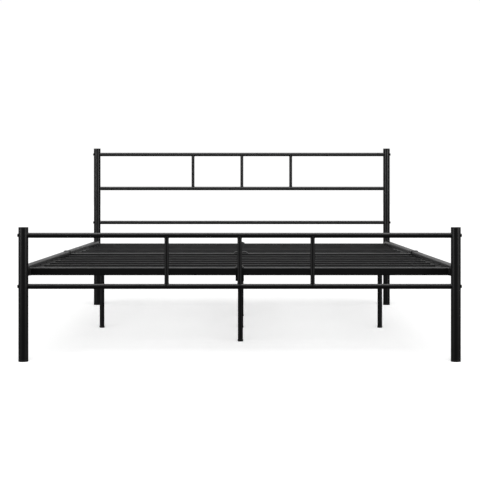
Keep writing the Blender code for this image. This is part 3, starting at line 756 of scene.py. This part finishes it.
class BED_OT_add_panel_rails(bpy.types.Operator):
    """Add the round rails of both panels, hollowed at their ends to fit the posts"""

    bl_idname = "bed.add_panel_rails"
    bl_label = "Panel Rails"

    def execute(self, context):
        sizes = context.scene.bed_sizes
        for end_name, row_names in (("foot", BOLTED_ROWS), ("head", ("top", "middle", "bottom"))):
            post = Space(f"{end_name}_post_right")
            reach = post.middle.x
            for row_name in row_names:
                rail = Space(f"{end_name}board_{row_name}_rail")
                shape = round_skin(rail.height / 2, -reach, reach, sizes.tube_sides)
                give_wall(shape, sizes.tube_wall)
                turn(shape, QUARTER_TURN, "Y")
                cope(shape, 0, 1, ((-reach, 1), (reach, -1)), post.width / 2 + GAP)
                soften(shape, sizes.cut_edge, ROUND_TUBE_CUT)
                finished(rail, "tube", shape, (0.0, rail.middle.y, rail.middle.z))
                if row_name in BOLTED_ROWS:
                    self.add_plugs(rail, sizes)
        return {"FINISHED"}

    def add_plugs(self, rail, sizes):
        """Threaded plugs in both ends of a rail, which take the panel bolts."""
        thread, bore = BOLT_HOLE / 2, rail.height / 2 - sizes.tube_wall - TINY
        wider, deeper = THREAD_CHAMFER
        for side_name, side in SIDES:
            shape = turned([
                (thread + wider, 0.0, 0.0), (bore, 0.0, 0.0), (bore, THREAD_PLUG_LENGTH, 0.0),
                (thread + wider, THREAD_PLUG_LENGTH, 0.0),
                (thread, THREAD_PLUG_LENGTH - deeper, 0.0), (thread, deeper, 0.0),
            ], sizes.tube_sides)
            turn(shape, QUARTER_TURN, "Y")
            start = rail.low.x + THREAD_PLUG_INSET
            if side > 0:
                start = rail.high.x - THREAD_PLUG_INSET - THREAD_PLUG_LENGTH
            finished(rail, f"{side_name}_thread_plug", shape,
                     (start, rail.middle.y, rail.middle.z), "blackened_steel")


class BED_OT_add_spindles(bpy.types.Operator):
    """Add the thin upright tubes of both panels, with the welds that hold them"""

    bl_idname = "bed.add_spindles"
    bl_label = "Spindles"

    def execute(self, context):
        sizes = context.scene.bed_sizes
        for end_name, lower_name in (("foot", "bottom"), ("head", "middle")):
            upper = Space(f"{end_name}board_top_rail")
            lower = Space(f"{end_name}board_{lower_name}_rail").middle
            length, rail_radius = upper.middle.z - lower.z, upper.height / 2
            for place in ("left", "centre", "right"):
                spindle = Space(f"{end_name}board_spindle_{place}")
                radius = spindle.width / 2
                shape = round_skin(radius, 0.0, length, sizes.tube_sides)
                give_wall(shape, sizes.spindle_wall)
                cope(shape, 2, 1, ((0.0, 1), (length, -1)), rail_radius + GAP)
                foot_weld = ring_weld(radius, rail_radius, sizes.weld_bead, True)
                head_weld = ring_weld(radius, rail_radius, sizes.weld_bead, False)
                shape = joined(shape, foot_weld, moved(head_weld, (0, 0, length)))
                finished(spindle, "tube", shape,
                         (spindle.middle.x, spindle.middle.y, lower.z))
        return {"FINISHED"}


class BED_OT_add_panel_bolts(bpy.types.Operator):
    """Add the button-head bolts that hold the top and the bottom rails of the panels"""

    bl_idname = "bed.add_panel_bolts"
    bl_label = "Panel Bolts"

    def execute(self, context):
        for end_name, _ in ENDS:
            for row_name in BOLTED_ROWS:
                for side_name, side in SIDES:
                    bolt = Space(f"{end_name}board_bolt_{row_name}_{side_name}")
                    self.add_bolt(bolt, Space(f"{end_name}_post_{side_name}"), side)
        return {"FINISHED"}

    def add_bolt(self, bolt, post, side):
        """One bolt, from the outside of its post into the rail."""
        seat = post.high.x + GAP if side > 0 else -post.low.x + GAP
        reach = bolt.high.x if side > 0 else -bolt.low.x
        inner = bolt.low.x if side > 0 else -bolt.high.x
        shape = self.bolt_shape(bolt.height / 2, reach - seat, seat - inner)
        turn(shape, QUARTER_TURN, "Y")
        moved(shape, (seat, 0.0, 0.0))
        if side < 0:
            turn(shape, math.pi, "Z")
        finished(bolt, "button_head", shape, (0.0, bolt.middle.y, bolt.middle.z),
                 "blackened_steel")

    def bolt_shape(self, head_radius, height, length):
        """Bolt along Z: its head stands on height 0 and has a hexagon socket."""
        flat, steps = 0.52 * head_radius, 7
        profile = [
            (0.0, -length, 0.0), (SHANK_RADIUS - SHANK_CHAMFER, -length, 0.0),
            (SHANK_RADIUS, SHANK_CHAMFER - length, 0.0), (SHANK_RADIUS, 0.0, 0.0),
            (head_radius - 0.0003, 0.0, 0.0)]
        for step in range(steps + 1):
            angle = QUARTER_TURN * step / steps
            profile.append((flat + (head_radius - flat) * math.cos(angle),
                            HEAD_EDGE + (height - HEAD_EDGE) * math.sin(angle), 0.0))
        shape = turned(profile, 48)
        mouth = [edge for edge in shape.edges if edge.is_boundary]
        made = bmesh.ops.create_circle(shape, cap_ends=False, segments=6,
                                       radius=SOCKET_SIZE * flat,
                                       matrix=Matrix.Translation((0, 0, height)))
        hexagon = list({edge for vert in made["verts"] for edge in vert.link_edges})
        bmesh.ops.bridge_loops(shape, edges=mouth + hexagon)
        walls = pull(shape, hexagon, (0, 0, -SOCKET_DEPTH * height))
        bottom = [edge for edge in walls if edge.is_boundary]
        bmesh.ops.holes_fill(shape, edges=bottom, sides=6)
        return shape


# ---- side rails

class BED_OT_add_side_rails(bpy.types.Operator):
    """Add both side rails in two halves each, with their sleeves and hook plates"""

    bl_idname = "bed.add_side_rails"
    bl_label = "Side Rails"

    def execute(self, context):
        sizes = context.scene.bed_sizes
        for side_name, side in SIDES:
            rail = Space(f"side_rail_{side_name}_foot_half")
            seam = rail.high.y + GAP
            place = (rail.middle.x, 0.0, rail.middle.z)
            for end_name, end in ENDS:
                half = Space(f"side_rail_{side_name}_{end_name}_half")
                post = Space(f"{end_name}_post_{side_name}")
                start, stop = sorted((seam + end * GAP, post.middle.y))
                shape = section_skin(rail.width, rail.height, start, stop, sizes.section_corner)
                self.cut_slat_slots(shape, rail, side, end, sizes)
                give_wall(shape, sizes.tube_wall)
                cope(shape, 1, 0, ((post.middle.y, -end),), post.width / 2 + GAP)
                soften(shape, sizes.cut_edge)
                finished(half, "rail", shape, place)
                finished(half, "hook_plate", self.hook_plate(rail, post, end, sizes), place)
            finished(half, "joint_sleeve", self.sleeve(rail, seam, sizes), place)
        return {"FINISHED"}

    def cut_slat_slots(self, shape, rail, side, end, sizes):
        """Slots in the inner wall, one for each tongue of the seven slats of this half."""
        first = 1 if end < 0 else SLATS_PER_HALF + 1
        inner = -side * rail.width / 2
        half = sizes.tongue_width / 2 + 2 * GAP
        for number in range(first, first + SLATS_PER_HALF):
            slat = Space(f"slat_{number:02d}")
            bottom = slat.high.z - sizes.slat_wall - 2 * GAP - rail.middle.z
            top = slat.high.z + 2 * GAP - rail.middle.z
            cut_window(shape, (inner - SLAT_SLOT_REACH, slat.middle.y - half, bottom),
                       (inner + SLAT_SLOT_REACH, slat.middle.y + half, top))

    def hook_plate(self, rail, post, end, sizes):
        """Plate inside the rail's end, with two hooks that drop behind the post's wall."""
        face = post.middle.y - end * (post.width / 2)
        base, neck = face - end * HOOK_PLATE_LENGTH, face - end * HOOK_PLATE_SETBACK
        wall = face + end * (sizes.tube_wall + 2 * GAP)
        tip = wall + end * HOOK_TIP
        half = rail.height / 2 - sizes.tube_wall - TINY
        outline = [(base, -half), (neck, -half)]
        for offset in HOOK_OFFSETS:
            under, over = offset - HOOK_NECK / 2, offset + HOOK_NECK / 2
            outline += [(neck, under), (wall, under), (wall, under - HOOK_DROP),
                        (tip, under - HOOK_DROP), (tip, over), (neck, over)]
        outline += [(neck, half), (base, half)]
        shape = flat_plate([(0.0, y, z) for y, z in outline], HOOK_PLATE_SHEET, X_AXIS)
        soften(shape, sizes.cut_edge)
        return shape

    def sleeve(self, rail, seam, sizes):
        """Sleeve across the seam: it is fixed in the head half and slides in the foot half."""
        clearance = 2 * (sizes.tube_wall + GAP)
        shape = section_skin(rail.width - clearance, rail.height - clearance,
                             seam - SLEEVE_IN_FOOT_HALF, seam + SLEEVE_IN_HEAD_HALF,
                             sizes.section_corner / 2)
        give_wall(shape, sizes.tube_wall, edge=sizes.cut_edge)
        return shape


# ---- cross rails

class BED_OT_add_cross_rails(bpy.types.Operator):
    """Add the three cross rails, and the hook plates of the middle one"""

    bl_idname = "bed.add_cross_rails"
    bl_label = "Cross Rails"

    def execute(self, context):
        sizes = context.scene.bed_sizes
        side_rail = Space("side_rail_right_foot_half")
        for end_name, _ in ENDS:
            rail = Space(f"{end_name}_cross_rail")
            shape = section_skin(rail.length, rail.height, rail.low.x, rail.high.x,
                                 sizes.section_corner)
            give_wall(shape, sizes.tube_wall, edge=sizes.cut_edge)
            shape = joined(shape, *self.end_welds(rail, side_rail.low.x, sizes))
            turn(shape, -QUARTER_TURN, "Z")
            finished(rail, "rail", shape, (0.0, rail.middle.y, rail.middle.z))
        middle_rail = Space("middle_cross_rail")
        reach = side_rail.low.x - GAP - sizes.saddle_sheet
        shape = self.middle_rail(rail, reach, sizes)
        finished(middle_rail, "rail", shape, (0.0, 0.0, (rail.low.z + rail.high.z) / 2))
        for side_name, side in SIDES:
            shape = self.saddle(side, reach, rail.low.z, side_rail, sizes)
            finished(middle_rail, f"{side_name}_hook", shape, (0.0, 0.0, 0.0))
        return {"FINISHED"}

    def end_welds(self, rail, inner, sizes):
        """Welds round both ends, against the inner faces of the side rails."""
        welds = []
        for _, side in SIDES:
            weld = collar_weld(rail.length, rail.height, sizes.section_corner,
                               sizes.weld_bead, 3.0 + side)
            bmesh.ops.scale(weld, vec=(1, -side, 1), verts=weld.verts)
            bmesh.ops.recalc_face_normals(weld, faces=weld.faces)
            welds.append(moved(weld, (0.0, side * (inner - TINY), 0.0)))
        return welds

    def middle_rail(self, like, reach, sizes):
        """Tube along X, of the same section as another rail, drilled for its three legs."""
        shape = section_skin(like.length, like.height, -reach, reach, sizes.section_corner)
        for name in ("left", "centre", "right"):
            leg = Space(f"support_leg_{name}").middle
            drill(shape, (0.0, -leg.x, -like.height / 2), Z_AXIS, STUD_HOLE_DEPTH)
        give_wall(shape, sizes.tube_wall, edge=sizes.cut_edge)
        turn(shape, -QUARTER_TURN, "Z")
        return shape

    def saddle(self, side, near, bottom, side_rail, sizes):
        """Plate on the middle cross rail's end, bent over the side rail."""
        far = side_rail.high.x + GAP + sizes.saddle_sheet
        top = side_rail.high.z + GAP + sizes.saddle_sheet
        path = [(side * near, 0.0, bottom), (side * near, 0.0, top),
                (side * far, 0.0, top), (side * far, 0.0, side_rail.high.z - SADDLE_LIP)]
        shape = bent_sheet(path, sizes.saddle_width, 2.0 * sizes.saddle_sheet, Y_AXIS)
        give_wall(shape, sizes.saddle_sheet, (-side, 0.0, 0.0), 2 * sizes.cut_edge)
        return shape


# ---- slats and centre beam

class BED_OT_add_slats(bpy.types.Operator):
    """Add the fourteen folded slats, with a tongue at each end"""

    bl_idname = "bed.add_slats"
    bl_label = "Slats"

    def execute(self, context):
        sizes = context.scene.bed_sizes
        reach = Space("side_rail_right_foot_half").low.x - sizes.slat_end_gap
        for number in range(1, 2 * SLATS_PER_HALF + 1):
            slat = Space(f"slat_{number:02d}")
            finished(slat, "channel", self.slat_shape(slat, reach, sizes),
                     (0.0, slat.middle.y, slat.high.z), "slat_coat")
        return {"FINISHED"}

    def slat_shape(self, slat, reach, sizes):
        """Channel along X with its web on top at height 0, and a tongue at each end."""
        half, depth, tongue = slat.length / 2, slat.height, sizes.tongue_width / 2
        path = [(0.0, -half, -depth), (0.0, -half, 0.0), (0.0, half, 0.0), (0.0, half, -depth)]
        shape = bent_sheet(path, 2 * reach, sizes.slat_fold, X_AXIS)
        for y in (-tongue, tongue):
            slice_across(shape, (0.0, y, 0.0), Y_AXIS)
        for end, tip in ((-reach, slat.low.x), (reach, slat.high.x)):
            roots = [edge for edge in shape.edges
                     if all(abs(vert.co.x - end) < TINY and abs(vert.co.y) < tongue + TINY
                            and vert.co.z > -TINY for vert in edge.verts)]
            pull(shape, roots, (tip - end, 0.0, 0.0))
        give_wall(shape, sizes.slat_wall, Z_AXIS, sizes.cut_edge)
        return shape


class BED_OT_add_centre_beam(bpy.types.Operator):
    """Add both halves of the centre beam, with the plates that hook over the cross rails"""

    bl_idname = "bed.add_centre_beam"
    bl_label = "Centre Beam"

    def execute(self, context):
        sizes = context.scene.bed_sizes
        top = Space("slat_01").low.z - BEAM_PLAY
        middle = Space("middle_cross_rail").middle.y
        for half_name, end in ENDS:
            beam = Space(f"centre_beam_{half_name}_half")
            bottom = beam.low.z
            rail = Space(f"{half_name}_cross_rail")
            reach = rail.length / 2 + GAP
            start, stop = sorted((middle + end * (reach + GAP),
                                  rail.middle.y - end * (reach + sizes.hook_sheet)))
            shape = section_skin(sizes.beam_width, top - bottom, start, stop,
                                 sizes.section_corner)
            leg = Space(f"support_leg_{half_name}").middle
            drill(shape, (0.0, leg.y, (bottom - top) / 2), Z_AXIS, STUD_HOLE_DEPTH)
            give_wall(shape, sizes.tube_wall, edge=sizes.cut_edge)
            finished(beam, "beam", shape, (0.0, 0.0, (bottom + top) / 2))
            aside = end * (BEAM_HOOK_WIDTH / 2 + GAP)
            for name, x, y, way in (("outer", 0.0, rail.middle.y, end),
                                    ("middle", aside, middle, -end)):
                shape = self.hook_shape(y, way, reach, bottom, rail.high.z, sizes)
                finished(beam, f"{name}_hook", shape, (x, 0.0, 0.0))
        return {"FINISHED"}

    def hook_shape(self, rail_y, way, reach, bottom, rail_top, sizes):
        """Plate that rises behind a cross rail, lies over it and drops down its far side."""
        sheet = sizes.hook_sheet
        near, far = rail_y - way * reach - way * sheet, rail_y + way * reach + way * sheet
        top = rail_top + GAP + sheet
        path = [(0.0, near, bottom), (0.0, near, top), (0.0, far, top),
                (0.0, far, rail_top + GAP - BEAM_HOOK_LIP)]
        shape = bent_sheet(path, BEAM_HOOK_WIDTH - 2 * GAP, 1.6 * sheet, X_AXIS)
        give_wall(shape, sheet, (0.0, -way, 0.0), 2 * sizes.cut_edge)
        ridge = flat_plate([(x, 0.0, z) for x, z in (
            (-RIDGE_BASE, top - sheet / 2), (RIDGE_BASE, top - sheet / 2),
            (RIDGE_BASE, top), (RIDGE_CREST, top + RIDGE_HEIGHT),
            (-RIDGE_CREST, top + RIDGE_HEIGHT), (-RIDGE_BASE, top))],
            2 * reach + sheet, Y_AXIS)
        soften(ridge, RIDGE_ROUNDING, 20.0, 3)
        return joined(shape, moved(ridge, (0.0, rail_y, 0.0)))


# ---- support legs

class BED_OT_add_support_legs(bpy.types.Operator):
    """Add the five round support legs, with their studs and moulded glides"""

    bl_idname = "bed.add_support_legs"
    bl_label = "Support Legs"

    def execute(self, context):
        sizes = context.scene.bed_sizes
        for name in ("left", "centre", "right", "foot", "head"):
            leg = Space(f"support_leg_{name}")
            radius = leg.width / 2 - SHOE_FLARE
            shape = self.leg_shape(leg, radius, radius - sizes.tube_wall, sizes.tube_sides)
            finished(leg, "tube", shape, leg.stand)
            shape = self.shoe_shape(leg, radius + SHOE_FIT, sizes.tube_sides)
            finished(leg, "glide", shape, leg.stand, "moulded_plastic")
        return {"FINISHED"}

    def leg_shape(self, leg, radius, inner, sides):
        """Round tube, closed at the top by a plug with a stud."""
        floor, tip = leg.low.z, leg.high.z
        top = tip - STUD_LENGTH
        return turned([
            (0.0, tip, 0.0), (SHANK_RADIUS, tip, 0.0008), (SHANK_RADIUS, top, 0.0),
            (inner, top, 0.0), (radius, top, 0.0006), (radius, floor + LEG_LIFT, 0.0),
            (inner, floor + LEG_LIFT, 0.0), (inner, top - LEG_PLUG, 0.0),
            (0.0, top - LEG_PLUG, 0.0)], sides)

    def shoe_shape(self, leg, inner, sides):
        """Moulded shoe over the end of the leg, slightly wider than the tube."""
        radius, floor = leg.width / 2, leg.low.z
        return turned([
            (0.0, floor + SHOE_RECESS, 0.0), (0.0045, floor + SHOE_RECESS, 0.0),
            (0.0052, floor, 0.0), (radius, floor, 0.0009),
            (radius, floor + SHOE_HEIGHT, 0.0004), (inner, floor + SHOE_HEIGHT, 0.0),
            (inner, floor + SHOE_SOLE, 0.0), (0.0, floor + SHOE_SOLE, 0.0)], sides)


# ---- floor, lights and camera

class BED_OT_add_stage(bpy.types.Operator):
    """Add the pale floor, the soft lights and the camera"""

    bl_idname = "bed.add_stage"
    bl_label = "Stage"

    def execute(self, context):
        scene = context.scene
        scene.view_settings.view_transform = "Standard"
        floor = self.add_floor(scene.bed_stage.floor_colour)
        self.add_surround(scene)
        takers = {"floor": self.takers("floor_light_takers", floor, "INCLUDE"),
                  "bed": self.takers("soft_box_takers", floor, "EXCLUDE")}
        self.add_floor_light(takers["floor"])
        for name, lit, place, target, size, power in SOFT_BOXES:
            self.add_soft_box(name, takers[lit], place, target, size, power)
        self.aim_camera(scene, scene.bed_stage)
        return {"FINISHED"}

    def add_floor(self, colour):
        """Wide round floor, far larger than any view of the bed."""
        shape = bmesh.new()
        bmesh.ops.create_circle(shape, cap_ends=True, segments=96, radius=FLOOR_RADIUS)
        mesh = bpy.data.meshes.new("studio_floor")
        shape.to_mesh(mesh)
        shape.free()
        mesh.materials.append(Finish("matt_white_floor").shade({
            "Base Color": (*colour, 1.0),
            "Roughness": 0.9,
            "Specular IOR Level": 0.0,
            "Emission Color": WHITE,
            "Emission Strength": FLOOR_GLOW,
        }))
        floor = bpy.data.objects.new("studio_floor", mesh)
        floor.visible_diffuse = False
        floor.visible_glossy = False
        bpy.context.scene.collection.objects.link(floor)
        return floor

    def add_surround(self, scene):
        """White all round to look at, which gives the bed only a little light."""
        world = bpy.data.worlds.new("white_surround")
        world.use_nodes = True
        nodes, links = world.node_tree.nodes, world.node_tree.links
        dim, bright = nodes["Background"], nodes.new("ShaderNodeBackground")
        for background, strength in ((dim, SURROUND_LIGHT), (bright, SURROUND_SEEN)):
            background.inputs["Color"].default_value = WHITE
            background.inputs["Strength"].default_value = strength
        seen = nodes.new("ShaderNodeLightPath")
        mix = nodes.new("ShaderNodeMixShader")
        links.new(seen.outputs["Is Camera Ray"], mix.inputs[0])
        links.new(dim.outputs[0], mix.inputs[1])
        links.new(bright.outputs[0], mix.inputs[2])
        links.new(mix.outputs[0], nodes["World Output"].inputs["Surface"])
        scene.world = world

    def takers(self, name, floor, link_state):
        """Collection that gives a light to the floor alone, or to all but the floor."""
        collection = bpy.data.collections.new(name)
        collection.objects.link(floor)
        collection.collection_objects[0].light_linking.link_state = link_state
        return collection

    def add_lamp(self, name, kind, power, takers):
        """Light of a kind and a power, for those that take it."""
        light = bpy.data.lights.new(name, kind)
        light.energy = power
        lamp = bpy.data.objects.new(name, light)
        lamp.light_linking.receiver_collection = takers
        bpy.context.scene.collection.objects.link(lamp)
        return lamp

    def add_floor_light(self, takers):
        """Wide even light that only the floor takes, so that its shadows stay faint."""
        lamp = self.add_lamp("floor_light", "SUN", FLOOR_LIGHT_POWER, takers)
        lamp.data.angle = FLOOR_LIGHT_SPREAD
        lamp.rotation_euler = FLOOR_LIGHT_TURN

    def add_soft_box(self, name, takers, place, target, size, power):
        """Square soft box that faces a point, and isn't seen itself."""
        lamp = self.add_lamp(name, "AREA", power, takers)
        lamp.data.size = size
        lamp.location = place
        aim = Vector(target) - Vector(place)
        lamp.rotation_euler = aim.to_track_quat("-Z", "Y").to_euler()
        lamp.visible_camera = False

    def aim_camera(self, scene, stage):
        """Camera in front of the footboard, level and a little to the right of the middle."""
        posts = Space("foot_post_left").middle.y
        camera = bpy.data.cameras.new("camera")
        camera.sensor_width = 36.0
        camera.lens = stage.lens
        camera.shift_x = stage.shift_across
        camera.shift_y = stage.shift_up
        view = bpy.data.objects.new("camera", camera)
        view.location = (stage.camera_offset, posts - stage.camera_distance,
                         stage.camera_height)
        view.rotation_euler = (QUARTER_TURN, 0.0, 0.0)
        scene.collection.objects.link(view)
        scene.camera = view


# ---- sidebar and registration

class BED_PT_pieces(bpy.types.Panel):
    """Sizes, finishes and pieces of the bed frame"""

    bl_idname = "BED_PT_pieces"
    bl_label = "Bed Frame"
    bl_space_type = "VIEW_3D"
    bl_region_type = "UI"
    bl_category = "Bed Frame"

    def draw(self, context):
        layout = self.layout
        for group_name, title, _ in GROUPS:
            box = layout.box()
            box.label(text=title)
            group = getattr(context.scene, group_name)
            for setting in group.__annotations__:
                box.prop(group, setting)
        column = layout.column(align=True)
        for operator in OPERATORS:
            column.operator(operator.bl_idname)


GROUPS = (
    ("bed_sizes", "Sizes", BedSizes),
    ("bed_finishes", "Finishes", BedFinishes),
    ("bed_stage", "Stage", BedStage),
)
OPERATORS = (
    BED_OT_add_posts,
    BED_OT_add_post_fittings,
    BED_OT_add_panel_rails,
    BED_OT_add_spindles,
    BED_OT_add_panel_bolts,
    BED_OT_add_side_rails,
    BED_OT_add_cross_rails,
    BED_OT_add_slats,
    BED_OT_add_centre_beam,
    BED_OT_add_support_legs,
    BED_OT_add_stage,
)


def register():
    """Add the settings, the operators and the panel to Blender."""
    for group_name, _, group in GROUPS:
        bpy.utils.register_class(group)
        setattr(bpy.types.Scene, group_name, PointerProperty(type=group))
    for operator in OPERATORS:
        bpy.utils.register_class(operator)
    bpy.utils.register_class(BED_PT_pieces)


def unregister():
    """Take them out again."""
    bpy.utils.unregister_class(BED_PT_pieces)
    for operator in reversed(OPERATORS):
        bpy.utils.unregister_class(operator)
    for group_name, _, group in reversed(GROUPS):
        delattr(bpy.types.Scene, group_name)
        bpy.utils.unregister_class(group)


def main():
    """Build every piece and the stage."""
    register()
    for operator in OPERATORS:
        getattr(bpy.ops.bed, operator.bl_idname.split(".")[1])()


if __name__ == "__main__":
    main()
